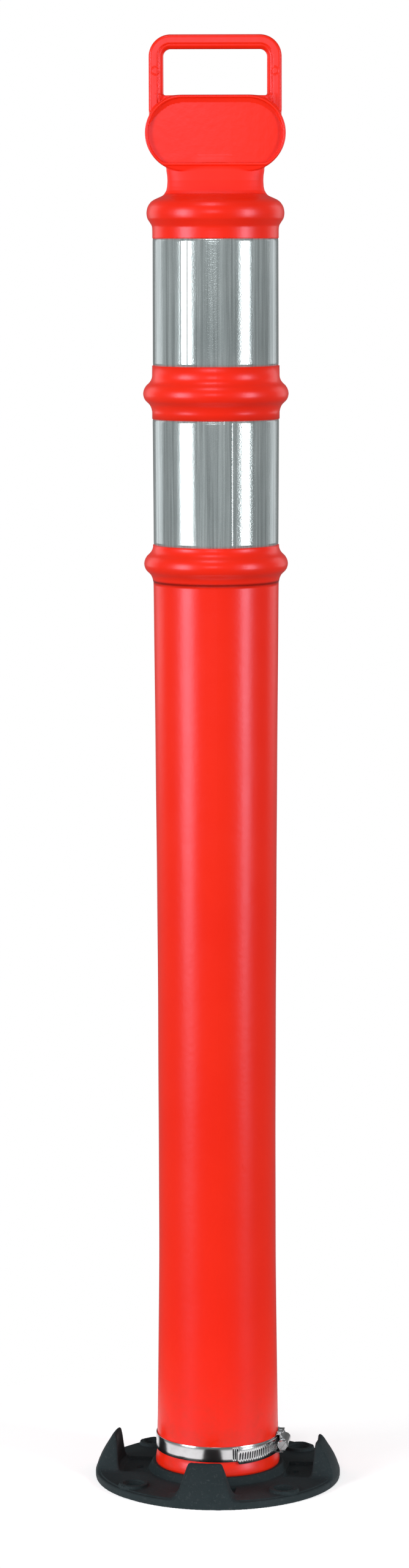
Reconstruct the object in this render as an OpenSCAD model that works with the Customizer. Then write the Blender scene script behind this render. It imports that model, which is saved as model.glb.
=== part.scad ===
// Delineator post: a hollow orange tube with a grab handle at its head, two reflective bands,
// a black bolt-down base with four guard wings, and a worm-drive hose clamp round the foot.
// Millimetres. Origin at the centre of the base's underside, +Z up, front of the post at -Y.

/* [Base] */
// Outside diameter of the base
base_d = 203.2; // [160:0.1:260]
// Height of the base's flat top
plate_h = 7; // [5:0.1:14]
// Floor height of the four channels between hub and wings
channel_floor = 4.5; // [2:0.1:10]
// Width of each channel
channel_w = 44; // [20:1:60]
// Height of the shoulder the post's foot rests on
hub_h = 13; // [10:0.5:20]
// Height of the spigot's top edge inside the post
spigot_h = 70; // [50:1:120]
// Turn of the base about the post
base_turn = -7.2; // [-45:0.1:45]

/* [Base bolts] */
// Diameter of the bolt circle
bolt_circle_d = 175; // [140:0.5:190]
// Through hole for a half-inch anchor
bolt_hole_d = 13.5; // [8:0.1:16]
// Outside diameter of the raised ring round each hole
boss_d = 24.5; // [18:0.5:30]
// Height of each ring above the flat top
boss_h = 2.5; // [0.5:0.1:5]

/* [Guard wings] */
// Height of each wing's tip
wing_h = 35.4; // [20:0.1:60]
// Radius of the wing's inner face
wing_in_r = 82.8; // [70:0.5:90]
// Half width of the wing at its top corners
wing_top_half = 14.2; // [8:0.1:25]

/* [Post] */
// Overall height of the post's handle above the ground
overall_h = 1181.4; // [900:0.1:1400]
// Wall of the moulded tube
wall = 2.5; // [1.5:0.1:5]
// Height of each reflective band
band_h = 101.6; // [50:0.1:160]
// Thickness of the band's sheeting
band_t = 0.4; // [0.2:0.05:1]
// Height of the upper band's lower edge
upper_band_z = 918.6; // [800:0.1:940]
// Height of the lower band's lower edge
lower_band_z = 774.5; // [600:0.1:800]

/* [Head] */
// Width of the paddle
paddle_w = 112.3; // [80:0.1:140]
// Height of the paddle
paddle_h = 60; // [40:0.5:80]
// Thickness of the paddle
paddle_t = 34; // [20:0.5:60]
// Depth of the recess in each face of the paddle
recess = 1.4; // [0.5:0.1:3]
// Width over the handle's two legs
handle_w = 106.2; // [80:0.1:130]
// Width of the handle's bar
bar_w = 11.7; // [8:0.1:20]
// Thickness of the handle's bar, front to back
bar_t = 17; // [10:0.5:30]
// Depth of the neck, front to back
neck_t = 36; // [30:0.5:70]

/* [Clamp] */
// Width of the clamp's strap
strap_w = 12.7; // [8:0.1:16]
// Thickness of the strap
strap_t = 0.65; // [0.4:0.05:1.2]
// Height of the strap's middle
strap_z = 31.55; // [26:0.05:60]
// Inside radius of the strap
strap_r = 50.4; // [50:0.05:55]
// Inside radius of the strap's free end
tail_r = 51.6; // [51:0.05:56]
// Turn of the clamp's housing about the post
clamp_turn = -7; // [-180:0.1:180]
// Tilt of the free end about the housing
tail_tilt = 2.8; // [0:0.1:4]
// Distance of the screw's axis from the post's axis
screw_r = 55.8; // [55.5:0.1:62]
// Pitch of the worm and of the slots
pitch = 2.3; // [1.5:0.05:3.5]
// Turn of the screw's driver slot
slot_turn = 55; // [0:1:180]

/* [Hidden] */
$fn = 96;
big = 400;
base_r = base_d / 2;
upper_band_top = upper_band_z + band_h;
lower_band_top = lower_band_z + band_h;
paddle_z = 1103.5;
handle_corner = 17.5;
leg_x = handle_w / 2 - bar_w / 2;
bar_z = overall_h - bar_w / 2;
elbow_r = handle_corner - bar_w / 2;
slot_step = pitch / (tail_r + strap_t / 2) * 180 / PI;
tail_from = -65.1;
tail_to = 12;
groove_from = -68.6;
groove_step = 1.95;
saddle_half = 9.5;
saddle_t = 0.7;
worm_r = 3.1;
cap_front = -10.5;
cap_back = 9;

/* ---- shared helpers ---- */

// A rectangle with rounded corners, centred.
module rounded_rect(w, h, r) {
    square([w - 2 * r, h], center = true);
    square([w, h - 2 * r], center = true);
    for (x = [-1, 1], y = [-1, 1])
        translate([x * (w / 2 - r), y * (h / 2 - r)]) circle(r);
}

// A stadium block standing in the XZ plane: w wide, h high, t thick, edges rounded by e.
module stadium_block(w, h, t, e) {
    span = w - h;
    for (s = [-1, 1]) translate([s * span / 2, 0, 0]) rotate([90, 0, 0])
        rotate_extrude() intersection() {
            rounded_rect(h, t, e);
            translate([0, -t]) square([h, 2 * t]);
        }
    rotate([90, 0, 90]) linear_extrude(span, center = true) rounded_rect(t, h, e);
}

// A short arc of sheet metal standing round the Z axis, from one angle to another.
module sheet_arc(r, t, h, from, to) {
    rotate([0, 0, from]) rotate_extrude(angle = to - from)
        translate([r, -h / 2]) square([t, h]);
}

// Places its children in the clamp's own frame: +X out through the housing.
module at_clamp() {
    translate([0, 0, strap_z]) rotate([0, 0, clamp_turn]) children();
}

// Places its children along the screw: +Z runs from the driver's end to the tip.
module along_screw() {
    translate([screw_r, 0, 0]) rotate([-90, 0, 0]) rotate([0, 0, -slot_turn]) children();
}

/* ---- base ---- */

base_section = [[0, 0], [base_r - 0.8, 0], [base_r, 0.8], [base_r, 5.2], [base_r - 0.9, 5.5],
    [base_r - 1.4, 6.6], [base_r - 2.6, plate_h], [57.5, plate_h], [56.2, 8.4],
    [54.6, hub_h - 1.2], [53.2, hub_h], [46.5, hub_h], [46.5, spigot_h - 2],
    [45.2, spigot_h], [41, spigot_h], [41, 4.5], [0, 4.5]];

wing_section = [[79.2, 3], [79.2, 4.4], [81.4, 5.4], [82.4, 7.6], [wing_in_r, 10.5],
    [wing_in_r + 0.2, 28], [wing_in_r + 0.7, wing_h - 1.4], [wing_in_r + 1.6, wing_h],
    [wing_in_r + 2.8, wing_h - 0.2], [87, 33.8], [88.6, 31.6], [91.2, 27.4], [94.4, 22.4],
    [97, 17.6], [99.6, 12.2], [101.2, 7.4], [base_r, 5.2], [base_r, 3]];

wing_outline = [[29, 3], [29, 6.4], [26.2, 7.3], [23.8, 8.8], [22, 11], [20.6, 14],
    [wing_top_half, wing_h - 3.4], [wing_top_half - 0.7, wing_h - 1.5],
    [wing_top_half - 2.2, wing_h - 0.3], [wing_top_half - 4, wing_h + 0.4]];

module wing() {
    intersection() {
        rotate_extrude() polygon(wing_section);
        rotate([90, 0, 90]) linear_extrude(big) {
            polygon(concat(wing_outline, [[0, wing_h + 0.4], [0, 3]]));
            mirror([1, 0]) polygon(concat(wing_outline, [[0, wing_h + 0.4], [0, 3]]));
        }
    }
}

// The lowered floor between the hub and one wing, with the dimple in it.
module channel() {
    intersection() {
        difference() {
            translate([0, 0, channel_floor]) cylinder(r = wing_in_r + 1, h = 30);
            cylinder(r = 57.5, h = big);
        }
        translate([0, -channel_w / 2, 0]) cube([big, channel_w, plate_h + 1]);
    }
    translate([65, 0, channel_floor - 1.2]) linear_extrude(3) {
        square([4.4, 3], center = true);
        for (y = [-1.5, 1.5]) translate([0, y]) circle(2.2);
    }
}

module boss_at(a) {
    rotate([0, 0, a]) translate([bolt_circle_d / 2, 0, 0]) children();
}

module base() {
    color([0.12, 0.13, 0.14]) rotate([0, 0, base_turn]) difference() {
        union() {
            difference() {
                rotate_extrude() polygon(base_section);
                for (a = [0:90:270]) rotate([0, 0, a]) channel();
            }
            for (a = [0:90:270]) rotate([0, 0, a]) wing();
            for (a = [45:90:315]) boss_at(a) translate([0, 0, 1]) {
                cylinder(d = boss_d, h = plate_h + boss_h - 1.6);
                cylinder(d = boss_d - 1.2, h = plate_h + boss_h - 1);
            }
        }
        for (a = [45:90:315]) boss_at(a) {
            translate([0, 0, -1]) cylinder(d = bolt_hole_d, h = big);
            translate([0, 0, plate_h + boss_h - 2]) cylinder(d = 16.5, h = big);
        }
    }
}

/* ---- post ---- */

// Radius and height up the outside of the tube, from its foot to the shoulder.
foot_run = [[51.2, 13], [51.2, 17], [50.3, 21.5], [50, 24], [50, 40], [49.7, 51], [49.4, 72],
    [48.8, 114], [48.3, 155], [48, 197], [47.9, 259], [48, 320], [48.2, 402], [48.6, 483],
    [49.1, 564], [49.7, 645], [50.2, 705], [50.6, 746]];

// One moulded bead, as offsets from its middle height and from the tube beside it.
bead = [[0, -14.5], [0.5, -12.2], [1.7, -9.4], [3.5, -7.4], [5.5, -5.4], [6.7, -3], [7.3, 0],
    [6.9, 2.3], [6.1, 4.4], [4.8, 6.4], [2.8, 8.3], [1.2, 10.3], [0.3, 12.3], [0, 14]];

function bead_run(r, z) = [for (p = bead) [r + p[0], z + p[1]]];

shoulder_run = [[50.7, upper_band_top], [50.7, 1027], [51.1, 1030], [52.8, 1033], [54.6, 1036],
    [55.3, 1040.4], [54.4, 1044.8], [52.8, 1047.7], [51.4, 1049], [49.4, 1050.6], [46, 1052],
    [42, 1053.5], [34, 1055.2], [22, 1056.6]];

tube_run = concat(foot_run, bead_run(50.8, 759.2), [[50.8, lower_band_z],
    [50, lower_band_z], [50.5, lower_band_top], [51.3, lower_band_top]],
    bead_run(51.2, 896.2), [[51.1, upper_band_z], [50.2, upper_band_z],
    [50, upper_band_top]], shoulder_run);

neck_run = [[44, 1052.4], [42.7, 1053.5], [41.2, 1055], [39.4, 1058], [38.7, 1061],
    [38.4, 1066], [39.2, 1074], [39.2, 1085]];

// The neck, pinched front and back, drawn in by inset for the space inside it.
module neck(inset, low) {
    intersection() {
        rotate_extrude() polygon(concat([[0, low]], [[neck_run[0][0] - inset, low]],
            [for (p = neck_run) [p[0] - inset, p[1]]], [[0, 1085]]));
        translate([0, 0, 1050]) linear_extrude(80, center = true)
            rounded_rect(100, neck_t - 2 * inset, 12);
    }
}

module handle_section() { rounded_rect(bar_w, bar_t, 4); }

// The grab handle: two legs, two elbows and a top bar of one section, webbed at the foot.
module handle() {
    leg_low = paddle_z + 8;
    for (s = [-1, 1]) {
        translate([s * leg_x, 0, leg_low])
            linear_extrude(overall_h - handle_corner - leg_low) handle_section();
        translate([s * (leg_x - elbow_r), 0, overall_h - handle_corner])
            rotate([90, s > 0 ? 0 : -90, 0]) rotate_extrude(angle = 90)
                translate([elbow_r, 0]) handle_section();
    }
    translate([0, 0, bar_z]) rotate([0, 90, 0])
        linear_extrude(2 * (leg_x - elbow_r), center = true) handle_section();
    translate([-leg_x, -bar_t / 2 + 1.5, leg_low])
        cube([2 * leg_x, bar_t - 3, paddle_z + paddle_h / 2 - leg_low]);
}

// The stadium-shaped paddle with a shallow recess in its front and back.
module paddle() {
    translate([0, 0, paddle_z]) difference() {
        stadium_block(paddle_w, paddle_h, paddle_t, 4);
        for (s = [-1, 1]) translate([0, s * paddle_t / 2, 0])
            stadium_block(paddle_w - 6, paddle_h - 11, 2 * recess, recess - 0.1);
    }
}

// The space inside the tube, neck and paddle.
module post_space() {
    low = [for (p = tube_run) if (p[1] < 1046) [p[0] - wall, p[1]]];
    rotate_extrude() polygon(concat([[0, 12], [low[0][0], 12]], low, [[50, 1047.5],
        [46, 1049.4], [41, 1050.8], [0, 1052]]));
    neck(wall, 1048);
    translate([0, 0, paddle_z])
        stadium_block(paddle_w - 8, paddle_h - 2 * wall, paddle_t - 2 * (recess + wall), 3);
}

module post() {
    color([0.95, 0.2, 0.1]) difference() {
        union() {
            rotate_extrude() polygon(concat([[0, 13]], tube_run, [[0, 1057]]));
            neck(0, 1050);
            paddle();
            handle();
        }
        post_space();
    }
}

/* ---- reflective bands ---- */

module reflective_band(z, r_low, r_top) {
    color([0.75, 0.78, 0.78]) rotate_extrude() polygon([[r_low, z], [r_low + band_t, z],
        [r_top + band_t, z + band_h], [r_top, z + band_h]]);
}

module upper_reflective_band() { reflective_band(upper_band_z, 50.2, 50); }
module lower_reflective_band() { reflective_band(lower_band_z, 50, 50.5); }

/* ---- clamp ---- */

// A slot for the worm, pierced through sheet at radius r and angle a.
module worm_slot(r, a) {
    rotate([0, 0, a]) translate([r, 0, 0]) rotate([6, 0, 0]) cube([6, 0.95, 6.4], center = true);
}

module clamp_strap() {
    color([0.72, 0.73, 0.74]) at_clamp() difference() {
        sheet_arc(strap_r, strap_t, strap_w, saddle_half, 360 - saddle_half);
        for (i = [0:2]) rotate([0, 0, groove_from + i * groove_step])
            translate([strap_r + strap_t / 2, -0.55, -4.8]) cube([3, 1.1, 9.4]);
    }
}

// The strap's free end, lying over the strap on the driver's side of the housing.
module clamp_tail() {
    count = floor((tail_to - tail_from - 4) / slot_step);
    color([0.72, 0.73, 0.74]) at_clamp() rotate([tail_tilt, 0, 0]) difference() {
        sheet_arc(tail_r, strap_t, strap_w, tail_from, tail_to);
        for (i = [0:count]) worm_slot(tail_r, tail_from + 2.2 + i * slot_step);
        rotate([0, 0, tail_from]) translate([tail_r, 0, 0]) rotate([0, 90, 0])
            linear_extrude(6, center = true) for (s = [-1, 1]) difference() {
                translate([s * strap_w / 2, 0]) square(3.6, center = true);
                translate([s * (strap_w / 2 - 1.8), 1.8]) circle(1.8);
            }
    }
}

// The housing's outline across the screw, grown outward by g; x runs away from the post.
module cap_outline(g) {
    translate([screw_r, 0]) circle(worm_r + 0.35 + g);
    polygon([[50, -7.1 - g], [53.6, -7.1 - g], [screw_r, -3.5 - g], [screw_r, 3.5 + g],
        [53.6, 7.1 + g], [50, 7.1 + g]]);
}

module cap_length(from, to, g) {
    translate([0, to, 0]) rotate([90, 0, 0]) linear_extrude(to - from) cap_outline(g);
}

// Sheet cap over the worm, with an end wall at each end for the screw to run in.
module clamp_housing() {
    color([0.66, 0.67, 0.69]) at_clamp() difference() {
        cap_length(cap_front, cap_back, 0.7);
        difference() {
            cap_length(cap_front - 1, cap_back + 1, 0);
            for (y = [cap_front, cap_back - 1])
                translate([screw_r - 3, y, -8]) cube([20, 1, 16]);
        }
        translate([0, 0, -20]) cylinder(r = strap_r + saddle_t, h = 40);
        translate([screw_r, 0, 0]) rotate([90, 0, 0]) cylinder(r = 1.9, h = 40, center = true);
        translate([screw_r, cap_front + 2, 0]) rotate([90, 0, 0]) cylinder(r = 2.8, h = 10);
    }
}

// Curved plate under the free end, with two tabs each side folded up against the cap.
module clamp_saddle() {
    color([0.66, 0.67, 0.69]) at_clamp() {
        sheet_arc(strap_r, saddle_t, 17.6, -saddle_half, saddle_half);
        for (s = [-1, 1], y = [-5, 4]) difference() {
            translate([47, y - 2, s > 0 ? 7.9 : -8.9]) cube([8.4, 4, 1]);
            translate([0, 0, -20]) cylinder(r = strap_r + saddle_t / 2, h = 40);
        }
    }
}

worm_crests = [for (i = [0:6], p = [[2.3, 0], [worm_r, 0.8], [worm_r, 1.4]])
    [p[0], 1.9 + i * pitch + p[1]]];

module clamp_screw() {
    color([0.6, 0.61, 0.63]) at_clamp() along_screw() difference() {
        union() {
            rotate_extrude() polygon(concat([[0, -12.2], [4.4, -12.2], [4.4, -10.9], [2.4, -10.9],
                [2.4, -9]], [for (p = worm_crests) [p[0], p[1] - 10.4]],
                [[2.3, 7.6], [1.5, 7.8], [1.5, 9.4], [0, 9.4]]));
            translate([0, 0, -17]) cylinder(d = 9.24, h = 5, $fn = 6);
            translate([0, 0, -17.5]) cylinder(d1 = 7.6, d2 = 8.6, h = 0.6);
        }
        translate([-8, -0.65, -18]) cube([16, 1.3, 2.4]);
    }
}

/* ---- one line per node ---- */

base();
post();
upper_reflective_band();
lower_reflective_band();
clamp_strap();
clamp_tail();
clamp_housing();
clamp_saddle();
clamp_screw();
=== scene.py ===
import math

import bpy
import numpy as np
from mathutils import Matrix, Vector


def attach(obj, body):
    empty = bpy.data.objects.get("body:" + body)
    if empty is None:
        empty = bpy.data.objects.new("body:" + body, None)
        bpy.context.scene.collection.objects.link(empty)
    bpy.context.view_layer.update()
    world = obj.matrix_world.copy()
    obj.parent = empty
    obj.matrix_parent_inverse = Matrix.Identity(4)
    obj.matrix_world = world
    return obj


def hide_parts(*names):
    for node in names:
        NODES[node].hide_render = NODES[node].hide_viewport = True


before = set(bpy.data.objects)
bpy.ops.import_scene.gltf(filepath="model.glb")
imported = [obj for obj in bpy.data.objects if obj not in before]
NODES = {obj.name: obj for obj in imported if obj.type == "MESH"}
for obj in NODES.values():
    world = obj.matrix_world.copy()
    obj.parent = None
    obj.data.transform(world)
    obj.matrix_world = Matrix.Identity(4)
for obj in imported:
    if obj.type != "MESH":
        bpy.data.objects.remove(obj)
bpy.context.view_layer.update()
MM = 0.001

# ---------------------------------------------------------------- dimensions, in mm
BASE_TURN = math.radians(-7.2)
BASE_R = 101.1
RIM_DROP = 0.9
PLATE_H = 7.0
HUB_R, HUB_H = 55.5, 13.0
SPIGOT_R, SPIGOT_IN, SPIGOT_H = 46.5, 41.0, 70.0
CHANNEL_FLOOR, CHANNEL_HALF, CHANNEL_IN, CHANNEL_OUT = 4.5, 22.0, 57.9, 83.25
DIMPLE_AT, DIMPLE_W, DIMPLE_H, DIMPLE_DEPTH = 65, 7.4, 4.4, 1.1
BOLT_R, HOLE_R, BOSS_R, BOSS_H = 87.5, 6.75, 12.25, 2.5
SINK_R, SINK_DEPTH = 8.3, 1.8
BOLT_ANGLES = [math.radians(45 + 90 * k) for k in range(4)]
WING_H = 35.2
WING_SECTION = [(79.4, 2), (79.4, 4.6), (81.6, 5.6), (82.6, 8), (82.9, 12), (83.1, 28),
                (83.6, WING_H - 1.6), (84.6, WING_H), (85.6, WING_H - 0.2), (86.9, 33.6),
                (88.8, 31), (91.2, 27), (94.3, 22), (96.9, 17.2), (99.2, 12), (100.7, 7.4),
                (BASE_R, 5), (BASE_R, 2)]
WING_SIDE = [(12.2, WING_H), (13.8, WING_H - 1.2), (14.6, WING_H - 3.2), (20.6, 14), (22, 11),
             (23.8, 8.8), (26.2, 7.3), (29, 6.3), (30, -8)]

FOOT_Z = 13.0
WALL = 2.5
BAND_H = 101.6
UPPER_Z, LOWER_Z = 918.6, 774.5
HEAD_Z = UPPER_Z + BAND_H
SHEET_T, SHEET_EDGE = 0.4, 0.12
LOWER_BEAD, UPPER_BEAD = (50.8, 759.2), (51.2, 896.2)
MOULD_RING_Z, MOULD_RING_R = 35.6, 7

TOP_Z = 1181.3
NECK_WIDTH = [(1046, 47), (1050, 45), (1052.4, 43.6), (1053.5, 42.6), (1055, 41.2), (1058, 39.4),
              (1061, 38.7), (1066, 38.4), (1070, 38.6), (1074, 39.2), (1090, 39.2)]
NECK_DEPTH = [(1050, 23), (1058, 19), (1066, 16.4), (1074, 15), (1085, 14)]
NECK_POWER = 2.6
PADDLE_Z, PADDLE_W, PADDLE_H = 1103.5, 112.2, 60.0
FACE_W, FACE_H, FACE_LOW, FACE_HALF = 109.4, 56.6, 1079.0, 13.2
RIM_HALF, LIP_R = 15.8, 1.15
HANDLE_LOW, HANDLE_HALF_W, HANDLE_CORNER = 1105.0, 53.05, 17.5
BAR_W, BAR_HALF, BAR_TAPER = 11.7, 8.5, 0.045
WEB_HALF_W, WEB_TOP, WEB_HALF = 48, 1133.3, 6.2
MARK_X, MARK_Z, MARK_R = 47.6, 1152.5, 3.0

CLAMP_TURN = math.radians(-7)
TAIL_TILT = math.radians(2.8)
STRAP_R, STRAP_T, STRAP_W, STRAP_Z = 50.4, 0.65, 12.7, 31.55
TAIL_R, TAIL_FROM, TAIL_TO = 51.6, -65.1, 12.0
SADDLE_HALF = 9.5
PITCH = 2.3
GROOVE_FROM, GROOVE_STEP = -68.6, 1.95

CAMERA_LENS, CAMERA_SENSOR = 98.44, 36
CAMERA_AT, CAMERA_PITCH, CAMERA_ROLL = (-0.0088, -3.464, 1.0248), 7.33, 0.13
LIGHT_AIM, LIGHT_COLOUR = (0, 0, 1.06), (0.95, 0.97, 1.0)
FLOOR_HALF = 2.0

FOOT_RUN = [(51.2, 13), (51.2, 16.5), (50.95, 18.5), (50.35, 21.5), (50, 24.5), (50, 40), (49.7, 51),
            (49.4, 72), (48.8, 114), (48.3, 155), (48, 197), (47.9, 259), (48, 320), (48.2, 402),
            (48.6, 483), (49.1, 564), (49.7, 645), (50.2, 705), (50.55, 742)]
BEAD = [(0, -14.5), (0.5, -12.2), (1.7, -9.4), (3.5, -7.4), (5.5, -5.4), (6.7, -3), (7.25, 0),
        (6.9, 2.3), (6.1, 4.4), (4.8, 6.4), (2.8, 8.3), (1.2, 10.3), (0.3, 12.3), (0, 14)]
SHOULDER_RUN = [(50.7, HEAD_Z), (50.7, 1024), (50.75, 1027), (51.1, 1030), (52.8, 1033),
                (54.6, 1036), (55.3, 1040.4), (54.5, 1044.8), (52.9, 1047.7), (51.4, 1049.4),
                (49.2, 1050.9), (46, 1052.4), (43, 1053.7), (41, 1054.8), (39.6, 1055.3), (37, 1055.2),
                (0, 1055.2)]


# ---------------------------------------------------------------- mesh helpers
def new_object(name, verts, faces, body, material, node, normals=None):
    """A mesh object in metres from vertices in mm, riding on a body in place of a CAD node."""
    mesh = bpy.data.meshes.new(name)
    verts = np.asarray(verts, dtype=np.float64) * MM
    if isinstance(faces, np.ndarray):
        faces = faces.tolist()
    mesh.from_pydata(verts.tolist(), [], faces)
    mesh.validate()
    mesh.polygons.foreach_set("use_smooth", [True] * len(mesh.polygons))
    if normals is not None:
        mesh.normals_split_custom_set_from_vertices(normals.tolist())
    mesh.update()
    obj = bpy.data.objects.new(name, mesh)
    bpy.context.scene.collection.objects.link(obj)
    mesh.materials.append(material)
    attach(obj, body)
    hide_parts(node)
    return obj


def smooth_curve(points, step):
    """Points along a Catmull-Rom curve through (r, z) points, about step mm apart."""
    pts = [points[0]] + list(points) + [points[-1]]
    out = []
    for a, b, c, d in zip(pts, pts[1:], pts[2:], pts[3:]):
        n = max(1, int(math.dist(b, c) / step))
        for i in range(n):
            t = i / n
            out.append(tuple(0.5 * (2 * q + (r - p) * t + (2 * p - 5 * q + 4 * r - s) * t * t
                                    + (3 * q - p - 3 * r + s) * t ** 3)
                             for p, q, r, s in zip(a, b, c, d)))
    out.append(tuple(points[-1]))
    return out


def revolve(profile, segments, ripple):
    """Vertices and faces of a closed (r, z) profile turned round the Z axis, with a ripple in mm."""
    ang = np.arange(segments) * 2 * math.pi / segments
    prof = np.asarray(profile, dtype=float)
    r = np.repeat(prof[:, :1], segments, axis=1)
    z = np.repeat(prof[:, 1:2], segments, axis=1)
    r = r + ripple(ang[None, :], z)
    verts = np.stack([r * np.cos(ang), r * np.sin(ang), z], axis=-1).reshape(-1, 3)
    n, s = len(prof), segments
    i, j = np.meshgrid(np.arange(n), np.arange(s), indexing="ij")
    i2, j2 = (i + 1) % n, (j + 1) % s
    faces = np.stack([i * s + j, i * s + j2, i2 * s + j2, i2 * s + j], axis=-1).reshape(-1, 4)
    return verts, faces


def smin(a, b, k):
    h = np.clip(0.5 + 0.5 * (b - a) / k, 0, 1)
    return b * (1 - h) + a * h - k * h * (1 - h)


def smax(a, b, k):
    return -smin(-a, -b, k)


def smooth_step(x, lo, hi):
    t = np.clip((x - lo) / (hi - lo), 0, 1)
    return t * t * (3 - 2 * t)


def sd_stadium(u, v, w, h):
    """Distance to a stadium w wide and h high, negative inside."""
    return np.hypot(np.maximum(np.abs(u) - (w - h) / 2, 0), v) - h / 2


def sd_round_rect(u, v, half_u, half_v, r):
    qu, qv = np.abs(u) - half_u + r, np.abs(v) - half_v + r
    return np.hypot(np.maximum(qu, 0), np.maximum(qv, 0)) + np.minimum(np.maximum(qu, qv), 0) - r


class SectionField:
    """Distance to a closed (r, z) outline, looked up from a fine grid."""

    def __init__(self, outline, step=0.25):
        pts = np.asarray(outline, dtype=float)
        self.lo = pts.min(axis=0) - 12
        n = np.ceil((pts.max(axis=0) + 12 - self.lo) / step).astype(int) + 1
        self.step = step
        r = self.lo[0] + np.arange(n[0])[:, None] * step
        z = self.lo[1] + np.arange(n[1])[None, :] * step
        best = np.full((n[0], n[1]), 1e9)
        inside = np.zeros((n[0], n[1]), dtype=bool)
        for (r0, z0), (r1, z1) in zip(pts, np.roll(pts, -1, axis=0)):
            dr, dz = r1 - r0, z1 - z0
            length = max(dr * dr + dz * dz, 1e-12)
            t = np.clip(((r - r0) * dr + (z - z0) * dz) / length, 0, 1)
            best = np.minimum(best, (r - r0 - t * dr) ** 2 + (z - z0 - t * dz) ** 2)
            if z0 != z1:
                crosses = ((z0 > z) != (z1 > z)) & (r < r0 + (z - z0) / dz * dr)
                inside ^= crosses
        self.grid = np.where(inside, -1, 1) * np.sqrt(best)

    def __call__(self, r, z):
        n0, n1 = self.grid.shape
        a = np.clip((r - self.lo[0]) / self.step, 0, n0 - 1.001)
        b = np.clip((z - self.lo[1]) / self.step, 0, n1 - 1.001)
        i, j = a.astype(int), b.astype(int)
        s, t = a - i, b - j
        g = self.grid
        return ((g[i, j] * (1 - s) + g[i + 1, j] * s) * (1 - t)
                + (g[i, j + 1] * (1 - s) + g[i + 1, j + 1] * s) * t)


def gradient(field, p, e=0.05):
    out = np.empty_like(p)
    for k in range(3):
        a, b = p.copy(), p.copy()
        a[:, k] += e
        b[:, k] -= e
        out[:, k] = (field(*a.T) - field(*b.T)) / (2 * e)
    return out


def surface_of(field, lo, hi, h):
    """The zero surface of a field as vertices, quads and normals, by surface nets."""
    axes = [np.arange(a - h * 1.5, b + h * 1.5, h) for a, b in zip(lo, hi)]
    x, y = np.meshgrid(axes[0], axes[1], indexing="ij")
    f = np.empty((len(axes[0]), len(axes[1]), len(axes[2])), dtype=np.float32)
    for k, z in enumerate(axes[2]):
        f[:, :, k] = field(x, y, np.full_like(x, z))
    s = f < 0
    corners = [(i, j, k) for i in (0, 1) for j in (0, 1) for k in (0, 1)]
    nx, ny, nz = (n - 1 for n in f.shape)
    count = sum(s[i:i + nx, j:j + ny, k:k + nz].astype(np.int8) for i, j, k in corners)
    cells = np.argwhere((count > 0) & (count < 8))
    total = np.zeros((len(cells), 3))
    hits = np.zeros(len(cells))
    for a in corners:
        for axis in range(3):
            if a[axis]:
                continue
            b = tuple(1 if m == axis else a[m] for m in range(3))
            fa = f[tuple((cells + a).T)].astype(float)
            fb = f[tuple((cells + b).T)].astype(float)
            cross = (fa < 0) != (fb < 0)
            t = np.where(cross, fa / np.where(cross, fa - fb, 1), 0)
            point = np.array(a, dtype=float)[None, :] + t[:, None] * np.eye(3)[axis][None, :]
            total[cross] += point[cross]
            hits += cross
    verts = np.array([a[0] for a in axes]) + h * (cells + total / hits[:, None])
    index = np.full((nx, ny, nz), -1, dtype=np.int32)
    index[tuple(cells.T)] = np.arange(len(cells))
    quads = []
    for axis in range(3):
        u, v = [(1, 2), (2, 0), (0, 1)][axis]
        lead = [slice(0, n) for n in s.shape]
        lead[axis] = slice(0, s.shape[axis] - 1)
        tail = list(lead)
        tail[axis] = slice(1, s.shape[axis])
        a, b = s[tuple(lead)], s[tuple(tail)]
        for flip, edge in ((False, a & ~b), (True, ~a & b)):
            e = np.argwhere(edge)
            e = e[(e[:, u] > 0) & (e[:, v] > 0)]
            ring = []
            for du, dv in ((-1, -1), (0, -1), (0, 0), (-1, 0)):
                c = e.copy()
                c[:, u] += du
                c[:, v] += dv
                ring.append(index[tuple(c.T)])
            q = np.stack(ring, axis=1)
            quads.append(q[:, ::-1] if flip else q)
    quads = np.concatenate(quads)
    for _ in range(3):
        g = gradient(field, verts)
        move = field(*verts.T)[:, None] * g / np.maximum((g * g).sum(axis=1), 1e-3)[:, None]
        verts -= np.clip(move, -0.5 * h, 0.5 * h)
    g = gradient(field, verts)
    normals = g / np.maximum(np.linalg.norm(g, axis=1), 1e-9)[:, None]
    return verts, quads, normals


# ---------------------------------------------------------------- material helpers
def new_material(name):
    mat = bpy.data.materials.new(name)
    mat.use_nodes = True
    tree = mat.node_tree
    tree.nodes.clear()
    out = tree.nodes.new("ShaderNodeOutputMaterial")
    bsdf = tree.nodes.new("ShaderNodeBsdfPrincipled")
    tree.links.new(bsdf.outputs["BSDF"], out.inputs["Surface"])
    return mat, tree, bsdf


def put(tree, kind, inputs=None, **props):
    """Adds a node; inputs are values, or (node, output) to link."""
    node = tree.nodes.new(kind)
    for key, value in props.items():
        setattr(node, key, value)
    for key, value in (inputs or {}).items():
        if isinstance(value, tuple) and len(value) == 2 and hasattr(value[0], "outputs"):
            tree.links.new(value[0].outputs[value[1]], node.inputs[key])
        else:
            node.inputs[key].default_value = value
    return node


def scaled_coords(tree, scale):
    where = put(tree, "ShaderNodeTexCoord")
    return put(tree, "ShaderNodeMapping", {"Vector": (where, "Object"), "Scale": scale})


def noise(tree, coords, scale, detail=3.0, rough=0.55):
    return put(tree, "ShaderNodeTexNoise", {"Vector": (coords, "Vector"), "Scale": scale,
                                            "Detail": detail, "Roughness": rough})


def ramp(tree, source, stops):
    node = put(tree, "ShaderNodeValToRGB", {"Fac": source})
    elements = node.color_ramp.elements
    while len(elements) < len(stops):
        elements.new(0.5)
    for e, (pos, value) in zip(elements, stops):
        e.position = pos
        e.color = (value, value, value, 1)
    return node


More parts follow.
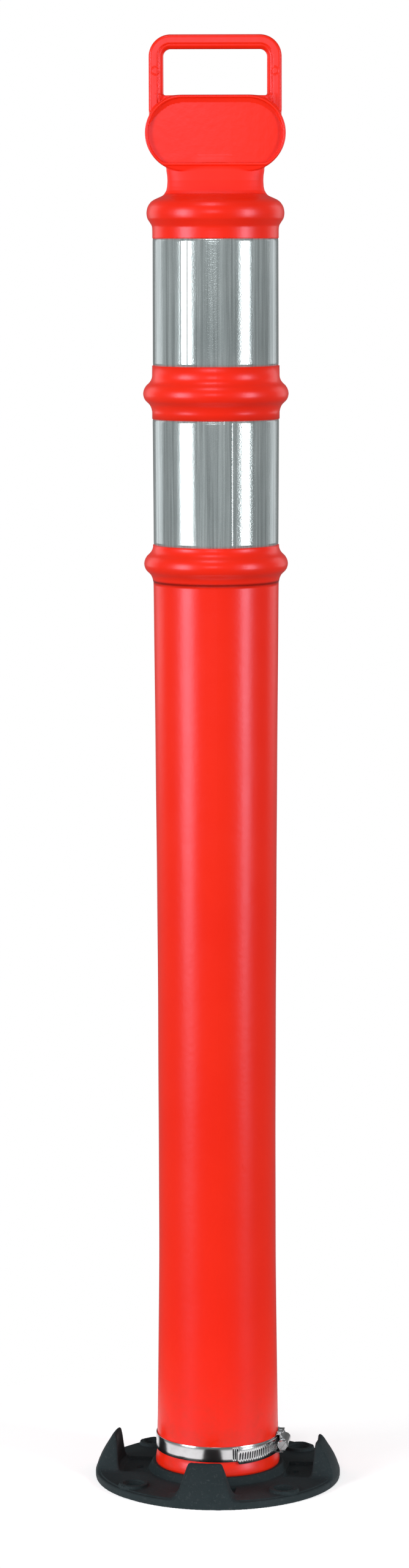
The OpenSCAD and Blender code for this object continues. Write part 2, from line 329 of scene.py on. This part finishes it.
def mix_colour(tree, fac, a, b, blend="MIX"):
    node = put(tree, "ShaderNodeMix", data_type="RGBA", blend_type=blend)
    for socket, value in ((0, fac), (6, a), (7, b)):
        if isinstance(value, tuple) and hasattr(value[0], "outputs"):
            tree.links.new(value[0].outputs[value[1]], node.inputs[socket])
        else:
            node.inputs[socket].default_value = value if socket == 0 else (*value, 1)
    return node


def bump_chain(tree, bsdf, layers, socket="Normal"):
    """Bump layers, each (source, distance in metres, strength), one over another."""
    last = None
    for source, distance, strength in layers:
        inputs = {"Height": source, "Distance": distance, "Strength": strength}
        if last is not None:
            inputs["Normal"] = (last, "Normal")
        last = put(tree, "ShaderNodeBump", inputs)
    tree.links.new(last.outputs["Normal"], bsdf.inputs[socket])


def height_mask(tree, low, high):
    """1 below low and 0 above high, in metres."""
    where = put(tree, "ShaderNodeTexCoord")
    split = put(tree, "ShaderNodeSeparateXYZ", {"Vector": (where, "Object")})
    return put(tree, "ShaderNodeMapRange", {"Value": (split, "Z"), "From Min": high, "From Max": low})


# ---------------------------------------------------------------- materials
def orange_plastic():
    mat, tree, bsdf = new_material("orange_moulded_plastic")
    even = scaled_coords(tree, (1, 1, 1))
    drawn = scaled_coords(tree, (1, 1, 0.12))
    cloud = noise(tree, even, 9, 4)
    streak = noise(tree, drawn, 160, 4, 0.6)
    grain = noise(tree, even, 1100, 3, 0.6)
    peel = noise(tree, even, 190, 2, 0.5)
    tint = mix_colour(tree, (ramp(tree, (cloud, "Fac"), [(0.35, 0.0), (0.65, 1.0)]), "Color"),
                      (0.95, 0.019, 0.0025), (0.98, 0.024, 0.004))
    drawn_tint = mix_colour(tree, (ramp(tree, (streak, "Fac"), [(0.3, 0.0), (0.7, 0.16)]), "Color"),
                            (1, 1, 1), (0.93, 0.9, 0.9))
    tint = mix_colour(tree, 1.0, (tint, "Result"), (drawn_tint, "Result"), "MULTIPLY")
    dirt_spots = ramp(tree, (noise(tree, even, 70, 6, 0.7), "Fac"), [(0.45, 0.0), (0.75, 0.35)])
    near_ground = height_mask(tree, 0.013, 0.11)
    dirt = put(tree, "ShaderNodeMath", {0: (dirt_spots, "Color"), 1: (near_ground, "Result")},
               operation="MULTIPLY")
    tint = mix_colour(tree, (dirt, "Value"), (tint, "Result"), (0.33, 0.05, 0.03))
    tree.links.new(tint.outputs["Result"], bsdf.inputs["Base Color"])
    rough = put(tree, "ShaderNodeMapRange", {"Value": (noise(tree, even, 40, 4), "Fac"),
                                             "To Min": 0.27, "To Max": 0.36})
    neck = ramp(tree, (height_mask(tree, 1.05, 1.085), "Result"),
                [(0.05, 0.0), (0.3, 0.22), (0.75, 0.22), (0.95, 0.0)])
    matt = put(tree, "ShaderNodeMath", {0: (rough, "Result"), 1: (neck, "Color")}, operation="ADD")
    tree.links.new(matt.outputs["Value"], bsdf.inputs["Roughness"])
    bsdf.inputs["IOR"].default_value = 1.45
    bsdf.inputs["Specular Tint"].default_value = (1, 0.78, 1, 1)
    bump_chain(tree, bsdf, [((peel, "Fac"), 0.0006, 0.12), ((streak, "Fac"), 0.0004, 0.10),
                            ((grain, "Fac"), 0.0001, 0.22)])
    return mat


def reflective_sheeting():
    mat, tree, bsdf = new_material("reflective_sheeting")
    even = scaled_coords(tree, (1, 1, 1))
    drawn = scaled_coords(tree, (1, 1, 0.012))
    streak = noise(tree, drawn, 330, 5, 0.75)
    grain = noise(tree, even, 1500, 3, 0.7)
    cells = put(tree, "ShaderNodeTexVoronoi", {"Vector": (even, "Vector"), "Scale": 900.0})
    cloud = noise(tree, even, 14, 3)
    tint = mix_colour(tree, (ramp(tree, (cloud, "Fac"), [(0.3, 0.0), (0.7, 1.0)]), "Color"),
                      (0.46, 0.515, 0.51), (0.55, 0.605, 0.595))
    speck = mix_colour(tree, (ramp(tree, (grain, "Fac"), [(0.3, 0.0), (0.7, 1.0)]), "Color"),
                       (0.82, 0.83, 0.83), (1, 1, 1))
    tint = mix_colour(tree, 1.0, (tint, "Result"), (speck, "Result"), "MULTIPLY")
    lines = mix_colour(tree, (ramp(tree, (streak, "Fac"), [(0.36, 0.0), (0.62, 1.0)]), "Color"),
                       (0.6, 0.61, 0.61), (1.12, 1.12, 1.12))
    tint = mix_colour(tree, 1.0, (tint, "Result"), (lines, "Result"), "MULTIPLY")
    tree.links.new(tint.outputs["Result"], bsdf.inputs["Base Color"])
    bsdf.inputs["Metallic"].default_value = 0.45
    rough = put(tree, "ShaderNodeMapRange", {"Value": (cloud, "Fac"), "To Min": 0.13, "To Max": 0.17})
    tree.links.new(rough.outputs["Result"], bsdf.inputs["Roughness"])
    bsdf.inputs["Coat Weight"].default_value = 0.25
    bsdf.inputs["Coat Roughness"].default_value = 0.05
    bump_chain(tree, bsdf, [((streak, "Fac"), 0.00015, 0.12), ((cells, "Distance"), 0.00012, 0.3),
                            ((grain, "Fac"), 0.00008, 0.4)])
    bump_chain(tree, bsdf, [((grain, "Fac"), 0.00006, 0.2)], "Coat Normal")
    return mat


def black_rubber():
    mat, tree, bsdf = new_material("black_moulded_rubber")
    even = scaled_coords(tree, (1, 1, 1))
    cloud = noise(tree, even, 28, 5, 0.6)
    grain = noise(tree, even, 1400, 3, 0.65)
    tint = mix_colour(tree, (ramp(tree, (cloud, "Fac"), [(0.3, 0.0), (0.75, 1.0)]), "Color"),
                      (0.016, 0.024, 0.026), (0.024, 0.033, 0.036))
    spots = ramp(tree, (noise(tree, even, 420, 4, 0.75), "Fac"), [(0.56, 0.0), (0.72, 0.22)])
    tint = mix_colour(tree, (spots, "Color"), (tint, "Result"), (0.12, 0.125, 0.125))
    tree.links.new(tint.outputs["Result"], bsdf.inputs["Base Color"])
    rough = put(tree, "ShaderNodeMapRange", {"Value": (cloud, "Fac"), "To Min": 0.5, "To Max": 0.68})
    tree.links.new(rough.outputs["Result"], bsdf.inputs["Roughness"])
    bsdf.inputs["Specular IOR Level"].default_value = 0.07
    bump_chain(tree, bsdf, [((noise(tree, even, 260, 3), "Fac"), 0.0004, 0.15),
                            ((grain, "Fac"), 0.00016, 0.45)])
    return mat


def steel(name, tint, rough_low, rough_high, along_strap):
    mat, tree, bsdf = new_material(name)
    lines = scaled_coords(tree, (25, 25, 4200) if along_strap else (500, 500, 500))
    brushed = noise(tree, lines, 1.0, 4, 0.65)
    even = scaled_coords(tree, (1, 1, 1))
    cloud = noise(tree, even, 130, 4, 0.6)
    stain = ramp(tree, (cloud, "Fac"), [(0.35, 0.0), (0.8, 0.35)])
    colour = mix_colour(tree, (stain, "Color"), tint, tuple(0.62 * c for c in tint))
    tree.links.new(colour.outputs["Result"], bsdf.inputs["Base Color"])
    bsdf.inputs["Metallic"].default_value = 1.0
    rough = put(tree, "ShaderNodeMapRange", {"Value": (cloud, "Fac"), "To Min": rough_low,
                                             "To Max": rough_high})
    tree.links.new(rough.outputs["Result"], bsdf.inputs["Roughness"])
    bump_chain(tree, bsdf, [((brushed, "Fac"), 0.00003, 0.18)])
    return mat


# ---------------------------------------------------------------- the post
def tube_ripple(ang, z):
    """Small waviness of the blow-moulded wall, and the mould's faint parting lines, in mm."""
    wave = (0.05 * np.sin(3 * ang + z / 61) + 0.035 * np.sin(5 * ang - z / 37 + 1)
            + 0.03 * np.sin(2 * ang + z / 17.3))
    line = np.zeros(np.broadcast(ang, z).shape)
    for at, high in ((0, 0.16), (math.pi, 0.16), (1.503 * math.pi, 0.07)):
        off = (ang - at + math.pi) % (2 * math.pi) - math.pi
        line = line + high * np.exp(-(off / 0.012) ** 2)
    off = (ang - 1.5 * math.pi - 0.015 + math.pi) % (2 * math.pi) - math.pi
    ring = np.abs(np.hypot(off * 50, z - MOULD_RING_Z) - MOULD_RING_R) / 0.45
    return wave * smooth_step(z, 20, 60) + line - 0.22 * np.exp(-ring ** 2)


def tube_section():
    """The tube's wall from its foot to the top of the upper band, as a closed outline."""
    lower_bead = [(LOWER_BEAD[0] + r, LOWER_BEAD[1] + z) for r, z in BEAD]
    upper_bead = [(UPPER_BEAD[0] + r, UPPER_BEAD[1] + z) for r, z in BEAD]
    outer = smooth_curve(FOOT_RUN + lower_bead, 1.2)
    outer += [(50.8, LOWER_Z), (50.0, LOWER_Z + 0.05), (50.5, LOWER_Z + BAND_H - 0.05)]
    outer += [(51.2, LOWER_Z + BAND_H)] + smooth_curve(upper_bead, 1.2)
    outer += [(51.1, UPPER_Z), (50.2, UPPER_Z + 0.05), (50.0, HEAD_Z - 0.05), (50.6, HEAD_Z)]
    inner = [(r - WALL, z) for r, z in outer if not (r > 49.9 and z > LOWER_Z - 40)]
    inner = [(inner[0][0], FOOT_Z)] + inner[1:] + [(47.3, HEAD_Z)]
    return outer + inner[::-1]


def make_tube(material):
    verts, faces = revolve(tube_section(), 360, tube_ripple)
    new_object("post_tube", verts, faces, "post", material, "post")


def head_field():
    """The head as one field: shoulder bead, pinched neck, recessed paddle and grab handle."""
    shoulder = SectionField([(0, HEAD_Z)] + smooth_curve(SHOULDER_RUN, 0.8))

    def neck(x, y, z):
        a = np.interp(z, *zip(*NECK_WIDTH))
        b = np.interp(z, *zip(*NECK_DEPTH))
        g = ((np.abs(x) / a) ** NECK_POWER + (np.abs(y) / b) ** NECK_POWER + 1e-9) ** (1 / NECK_POWER)
        return np.maximum((1 - 1 / g) * np.hypot(x, y), np.maximum(z - 1085, 1040 - z))

    def paddle(x, y, z):
        out = sd_stadium(x, z - PADDLE_Z, PADDLE_W, PADDLE_H)
        face = smax(sd_stadium(x, z - PADDLE_Z, FACE_W, FACE_H), FACE_LOW - z, 1.0)
        slope = 0.8 + 3.6 * smooth_step(z, PADDLE_Z, PADDLE_Z + 22)
        wall = np.clip(1 + face / slope, 0, 1)
        roll = 0.5 * np.clip(z - FACE_LOW + 1, -6, 0)
        crown = 1.3 * (1 - wall) * (1 - (x / 55) ** 2)
        half = FACE_HALF + crown + (RIM_HALF - FACE_HALF) * wall + roll
        body = smax(out, (np.abs(y) - half) * 0.75, 1.0)
        lip = np.hypot(face - 0.2, np.abs(y) - RIM_HALF) - LIP_R
        return smin(body, np.maximum(lip, out), 0.4)

    def handle(x, y, z):
        mid, half_h = (HANDLE_LOW + TOP_Z) / 2, (TOP_Z - HANDLE_LOW) / 2
        edge = sd_round_rect(x, z - mid, HANDLE_HALF_W, half_h, HANDLE_CORNER)
        across = edge + BAR_W / 2
        bevel = np.clip(-across - 2.2, 0, 9) * 0.75
        groove = 0.9 * np.exp(-((across + 1.9) / 0.6) ** 2)
        for sx in (-1, 1):
            ring = np.abs(np.hypot(x - sx * MARK_X, z - MARK_Z) - MARK_R)
            groove = groove + 0.28 * np.exp(-(ring / 0.4) ** 2)
        slab = np.abs(y) - (BAR_HALF - bevel - groove - BAR_TAPER * (z - HANDLE_LOW))
        bar = smax(np.abs(across) - BAR_W / 2, slab * 0.85, 2.6)
        web = smax(smax(np.abs(x) - WEB_HALF_W, z - WEB_TOP, 1.0), np.abs(y) - WEB_HALF, 1.5)
        return np.maximum(smin(bar, web, 2.0), 1112 - z)

    def field(x, y, z):
        body = shoulder(np.hypot(x, y), z)
        body = smin(body, neck(x, y, z), 0.8)
        body = smin(body, paddle(x, y, z), 1.2)
        body = smin(body, handle(x, y, z), 1.6)
        return np.maximum(body, HEAD_Z - z)

    return field


def make_head(material):
    step = 0.7
    verts, faces, normals = surface_of(head_field(), (-57, -57, HEAD_Z), (57, 57, TOP_Z), step)
    new_object("post_head", verts, faces, "post", material, "post", normals)


def make_band(name, node, z, r_low, r_top, seam, material):
    """A ring of sheeting with an overlap at its seam, thinner at its very edges."""
    start = math.radians(seam)
    low, high = z + 0.02, z + BAND_H - 0.02
    prof = []
    for i in range(41):
        t = i / 40
        thick = SHEET_T - SHEET_EDGE * (i in (0, 40))
        prof.append((r_low + (r_top - r_low) * t + thick, low + (high - low) * t))
    prof += [(r_top, high), (r_low, low)]

    def lap(ang, zz):
        off = (ang - start) % (2 * math.pi)
        over = np.where(off < 0.13, 0.16, 0.0)
        return np.broadcast_to(over, np.broadcast(ang, zz).shape) * np.ones_like(zz)

    verts, faces = revolve(prof, 720, lap)
    new_object(name, verts, faces, "post", material, node)


# ---------------------------------------------------------------- the base
def from_bolts(u, v):
    """Distances to the axes of the four bolt holes."""
    return [np.hypot(u - BOLT_R * math.cos(a), v - BOLT_R * math.sin(a)) for a in BOLT_ANGLES]


def plate_top(u, v, r):
    """Height of the plate, with its hub, channels, dimples, rim and bolt bosses."""
    h = PLATE_H + (HUB_H - PLATE_H) * smooth_step(-r, -HUB_R - 2.1, -HUB_R + 2.1)
    for cu, cv in ((u, v), (-u, v), (v, u), (-v, u)):
        sink = smooth_step(-np.abs(cv), -CHANNEL_HALF - 0.8, -CHANNEL_HALF + 0.8)
        sink = sink * smooth_step(cu, CHANNEL_IN - 0.7, CHANNEL_IN + 0.7)
        sink = sink * smooth_step(-r, -CHANNEL_OUT - 1.25, -CHANNEL_OUT + 1.25)
        dimple = sd_stadium(cv, cu - DIMPLE_AT, DIMPLE_W, DIMPLE_H)
        h = h - (PLATE_H - CHANNEL_FLOOR) * sink - DIMPLE_DEPTH * smooth_step(-dimple, -0.5, 0.6)
    h = h - RIM_DROP * smooth_step(r, BASE_R - 3.2, BASE_R - 2.2)
    for away in from_bolts(u, v):
        h = h + BOSS_H * smooth_step(-away, -BOSS_R - 0.5, -BOSS_R + 0.6)
        h = h - SINK_DEPTH * smooth_step(-away, -SINK_R - 0.4, -SINK_R + 0.4)
    return h


def base_field():
    """The base as one field: plate, four wings, spigot and bolt holes."""
    wing_section = SectionField(WING_SECTION)
    wing_outline = SectionField([(-x, z) for x, z in reversed(WING_SIDE)] + WING_SIDE)
    spigot = SectionField([(SPIGOT_IN, 4), (SPIGOT_R, 4), (SPIGOT_R, SPIGOT_H - 2),
                           (SPIGOT_R - 1.3, SPIGOT_H), (SPIGOT_IN, SPIGOT_H)])

    def field(x, y, z):
        c, s = math.cos(-BASE_TURN), math.sin(-BASE_TURN)
        u, v = x * c - y * s, x * s + y * c
        r = np.hypot(u, v)
        plate = smax(r - BASE_R, (z - plate_top(u, v, r)) * 0.8, 1.4)
        across = np.where(np.abs(u) > np.abs(v), v, u)
        wing = smax(wing_section(r, z), wing_outline(across, z), 3.0)
        body = smin(plate, wing, 1.5)
        hollow = smax(r - SPIGOT_IN, CHANNEL_FLOOR - z, 1.0)
        body = np.maximum(smin(body, spigot(r, z), 0.8), -hollow)
        for away in from_bolts(u, v):
            body = smax(body, HOLE_R - away, 0.5)
        return np.maximum(body, -z)

    return field


def make_base(material):
    step = 0.9
    low, high = (-BASE_R, -BASE_R, 0), (BASE_R, BASE_R, SPIGOT_H)
    verts, faces, normals = surface_of(base_field(), low, high, step)
    new_object("base_moulding", verts, faces, "base", material, "base", normals)


# ---------------------------------------------------------------- the clamp
def slotted_sheet(radius, start, end, slots, slot_h, slot_w, lean, step, blind):
    """The strap's sheet bent round the Z axis, with slots at the given angles, as a closed shell.
    The slots are blind mm deep from outside. The faces from the number returned on are their floors."""
    corner = [-0.5, -0.25, 0, 0.25, 0.5]
    verts, faces, floors, index = [], [], [], {}

    def vertex(a, z):
        key = (round(a, 4), round(z, 4))
        if key not in index:
            index[key] = len(verts)
            verts.append((a, z))
        return index[key]

    def plain(a0, a1):
        n = max(1, round((a1 - a0) / 1.3))
        for i in range(n):
            b0, b1 = a0 + (a1 - a0) * i / n, a0 + (a1 - a0) * (i + 1) / n
            for c0, c1 in zip(corner, corner[1:]):
                faces.append([vertex(b0, c0 * STRAP_W), vertex(b1, c0 * STRAP_W),
                              vertex(b1, c1 * STRAP_W), vertex(b0, c1 * STRAP_W)])

    def slotted(a0, a1):
        mid, half = (a0 + a1) / 2, (a1 - a0) / 2
        outer = [(half, c * STRAP_W) for c in corner]
        outer += [(half * q, STRAP_W / 2) for q in (0.5, 0, -0.5)]
        outer += [(-a, -z) for a, z in outer]
        hw = math.degrees(slot_w / 2 / radius)
        inner = []
        for i in range(16):
            t = (i - 2) / 16 * 2 * math.pi
            cx, cz = math.cos(t), math.sin(t)
            cx, cz = math.copysign(abs(cx) ** 0.6, cx), math.copysign(abs(cz) ** 0.6, cz)
            inner.append((cx * hw, cz * slot_h / 2))
        ring_o = [vertex(mid + a, z) for a, z in outer]
        slope = math.degrees(math.tan(math.radians(lean)) / radius)
        ring_i = [vertex(mid + a - z * slope, z) for a, z in inner]
        for i in range(16):
            j = (i + 1) % 16
            faces.append([ring_o[i], ring_o[j], ring_i[j], ring_i[i]])
        floors.append(ring_i)

    at = start
    for s in sorted(slots):
        if s - step / 2 > at + 1e-6:
            plain(at, s - step / 2)
        slotted(s - step / 2, s + step / 2)
        at = s + step / 2
    if end > at + 1e-6:
        plain(at, end)
    n = len(verts)
    sunk = {i: k + 2 * n for k, i in enumerate(i for ring in floors for i in ring)}
    flat = np.array(verts)

    def bent(rows, r):
        ang = np.radians(rows[:, 0])
        return np.stack([r * np.cos(ang), r * np.sin(ang), rows[:, 1]], axis=1)

    outside = radius + STRAP_T
    shells = [bent(flat, radius), bent(flat, outside), bent(flat[list(sunk)], outside - blind)]
    edges = {}
    for f in faces:
        for p, q in zip(f, f[1:] + f[:1]):
            edges[(p, q)] = edges.get((p, q), 0) + 1
    solid = [f[::-1] for f in faces] + [[i + n for i in f] for f in faces]
    for (p, q) in edges:
        if (q, p) in edges:
            continue
        if p in sunk and q in sunk:
            solid.append([sunk[p], sunk[q], q + n, p + n])
        else:
            solid.append([p, q, q + n, p + n])
    # the slot floors that follow carry the painted slot shade
    dark = len(solid)
    for ring in floors:
        solid.append([sunk[i] for i in ring])
        solid.append(ring[::-1])
    return np.concatenate(shells), solid, dark


def in_clamp(verts, tilt=0.0):
    """Turns vertices from the clamp's own frame into the row's frame."""
    m = (Matrix.Translation((0, 0, STRAP_Z)) @ Matrix.Rotation(CLAMP_TURN, 4, "Z")
         @ Matrix.Rotation(tilt, 4, "X"))
    r, t = np.array(m.to_3x3()), np.array(m.translation)
    return np.asarray(verts) @ r.T + t


def round_tip(verts, start, radius, r=2.2):
    """Rounds the two corners of the sheet's end at angle start, by drawing the end's rows in."""
    ang = np.degrees(np.arctan2(verts[:, 1], verts[:, 0]))
    along = np.radians(ang - start) * radius
    for k in range(len(verts)):
        if along[k] < r:
            d = r - along[k]
            limit = STRAP_W / 2 - r + math.sqrt(max(r * r - d * d, 0.0))
            verts[k, 2] = max(-limit, min(limit, verts[k, 2]))
    return verts


def shade_slots(obj, groove, dark):
    """Gives the slots' floors, the faces from number dark on, near-black steel as painted shade: it
    stands in for the shadow seen down a slot.
    """
    obj.data.materials.append(groove)
    for face in obj.data.polygons:
        if face.index >= dark:
            face.material_index = 1


def make_strap(material, groove):
    slots = [GROOVE_FROM + GROOVE_STEP * i for i in range(3)]
    verts, faces, dark = slotted_sheet(STRAP_R, SADDLE_HALF - 360, -SADDLE_HALF, slots,
                                       9.4, 1.25, 2, GROOVE_STEP, 0.35)
    obj = new_object("clamp_band", in_clamp(verts), faces, "clamp", material,
                     "clamp_strap")
    # painted shade: the strap's blind slots get dark floors in place of the shadow in them
    shade_slots(obj, groove, dark)
    soften(obj, 0.1)


def make_tail(material, groove):
    step = math.degrees(PITCH / (TAIL_R + STRAP_T / 2))
    count = int((TAIL_TO - TAIL_FROM - 4) / step)
    slots = [TAIL_FROM + 2.6 + i * step for i in range(count)]
    verts, faces, dark = slotted_sheet(TAIL_R, TAIL_FROM, TAIL_TO, slots, 5.8, 1.15, -6, step, 0.5)
    verts = round_tip(verts, TAIL_FROM, TAIL_R)
    obj = new_object("clamp_band_end", in_clamp(verts, TAIL_TILT), faces, "tail",
                     material, "clamp_tail")
    # painted shade: the tail's slots are blind, and their dark floors stand in for the shadowed strap
    # seen through them
    shade_slots(obj, groove, dark)
    soften(obj, 0.1)


def soften(obj, width, angle=35):
    """Small rounded edges that catch the light."""
    m = obj.modifiers.new("edges", "BEVEL")
    m.width = width * MM
    m.segments = 2
    m.limit_method = "ANGLE"
    m.angle_limit = math.radians(angle)
    m.harden_normals = False


# ---------------------------------------------------------------- the scene
def area_light(name, azimuth, elevation, distance, size, power):
    """A soft light aimed at LIGHT_AIM, from azimuth degrees round from the front."""
    light = bpy.data.lights.new(name, "AREA")
    light.shape = "RECTANGLE"
    light.size, light.size_y = size
    light.energy = power
    light.color = LIGHT_COLOUR
    obj = bpy.data.objects.new(name, light)
    a, e = math.radians(azimuth - 90), math.radians(elevation)
    away = Vector((math.cos(a) * math.cos(e), math.sin(a) * math.cos(e), math.sin(e)))
    obj.location = Vector(LIGHT_AIM) + distance * away
    obj.rotation_euler = (Vector(LIGHT_AIM) - obj.location).to_track_quat("-Z", "Y").to_euler()
    obj.visible_camera = False
    bpy.context.scene.collection.objects.link(obj)


def make_camera():
    cam = bpy.data.cameras.new("camera")
    cam.lens = CAMERA_LENS
    cam.sensor_width = CAMERA_SENSOR
    obj = bpy.data.objects.new("camera", cam)
    obj.location = CAMERA_AT
    obj.rotation_euler = (math.radians(90 - CAMERA_PITCH), math.radians(CAMERA_ROLL), 0)
    bpy.context.scene.collection.objects.link(obj)
    bpy.context.scene.camera = obj


def make_floor():
    mat, tree, bsdf = new_material("floor_white")
    even = scaled_coords(tree, (1, 1, 1))
    tint = mix_colour(tree, (noise(tree, even, 6), "Fac"), (0.9, 0.9, 0.9), (0.93, 0.93, 0.93))
    tree.links.new(tint.outputs["Result"], bsdf.inputs["Base Color"])
    bsdf.inputs["Roughness"].default_value = 0.8
    bsdf.inputs["Emission Color"].default_value = (1, 1, 1, 1)
    bsdf.inputs["Emission Strength"].default_value = 0.5
    where = put(tree, "ShaderNodeTexCoord")
    flat = put(tree, "ShaderNodeVectorMath", {0: (where, "Object")}, operation="LENGTH")
    fade = put(tree, "ShaderNodeMapRange", {"Value": (flat, "Value"), "From Min": 0.13, "From Max": 0.34,
                                            "To Min": 1.0, "To Max": 0.0})
    tree.links.new(fade.outputs["Result"], bsdf.inputs["Alpha"])
    mesh = bpy.data.meshes.new("floor")
    corners = [(x * FLOOR_HALF, y * FLOOR_HALF, 0) for x, y in ((-1, -1), (1, -1), (1, 1), (-1, 1))]
    mesh.from_pydata(corners, [], [(0, 1, 2, 3)])
    mesh.materials.append(mat)
    obj = bpy.data.objects.new("floor", mesh)
    bpy.context.scene.collection.objects.link(obj)


def make_world():
    world = bpy.data.worlds.new("world")
    bpy.context.scene.world = world
    world.use_nodes = True
    tree = world.node_tree
    tree.nodes.clear()
    out = tree.nodes.new("ShaderNodeOutputWorld")
    back = put(tree, "ShaderNodeBackground", {"Color": (1, 1, 1, 1), "Strength": 0.17})
    seen = put(tree, "ShaderNodeBackground", {"Color": (1, 1, 1, 1), "Strength": 1.0})
    path = put(tree, "ShaderNodeLightPath")
    mix = put(tree, "ShaderNodeMixShader", {0: (path, "Is Camera Ray"), 1: (back, "Background"),
                                            2: (seen, "Background")})
    tree.links.new(mix.outputs["Shader"], out.inputs["Surface"])


def make_lights():
    area_light("strip_left", -55.6, 0, 3.0, (1.15, 2.1), 72)
    area_light("strip_right", 55.6, 0, 3.0, (0.8, 2.1), 56)
    area_light("over_camera", -6, 9.5, 4.6, (1.3, 0.6), 24)
    area_light("top_soft", -14, 62, 3.0, (0.9, 0.5), 15)
    area_light("edge_left", -130, 5, 3.2, (1.6, 2.2), 12)
    area_light("edge_right", 130, 5, 3.2, (1.6, 2.2), 11)


def main():
    orange = orange_plastic()
    sheeting = reflective_sheeting()
    rubber = black_rubber()
    strap = steel("stainless_strap", (0.74, 0.755, 0.76), 0.14, 0.24, True)
    housing = steel("stainless_housing", (0.47, 0.48, 0.485), 0.16, 0.3, False)
    make_tube(orange)
    make_head(orange)
    make_band("sheeting_upper", "upper_reflective_band", UPPER_Z, 50.2, 50.0, 236.0, sheeting)
    make_band("sheeting_lower", "lower_reflective_band", LOWER_Z, 50.0, 50.5, 277.4, sheeting)
    make_base(rubber)
    # painted shade: near-black steel for the slot floors, standing in for the shadow down the slots
    groove = steel("steel_in_shadow", (0.06, 0.06, 0.065), 0.4, 0.5, False)
    make_strap(strap, groove)
    make_tail(strap, groove)
    for name in ("clamp_housing", "clamp_saddle", "clamp_screw"):
        node = NODES[name]
        node.data.materials.clear()
        node.data.materials.append(housing)
        soften(node, 0.2, 40)
    make_camera()
    make_floor()
    make_world()
    make_lights()
    bpy.context.scene.view_settings.view_transform = "Standard"


main()
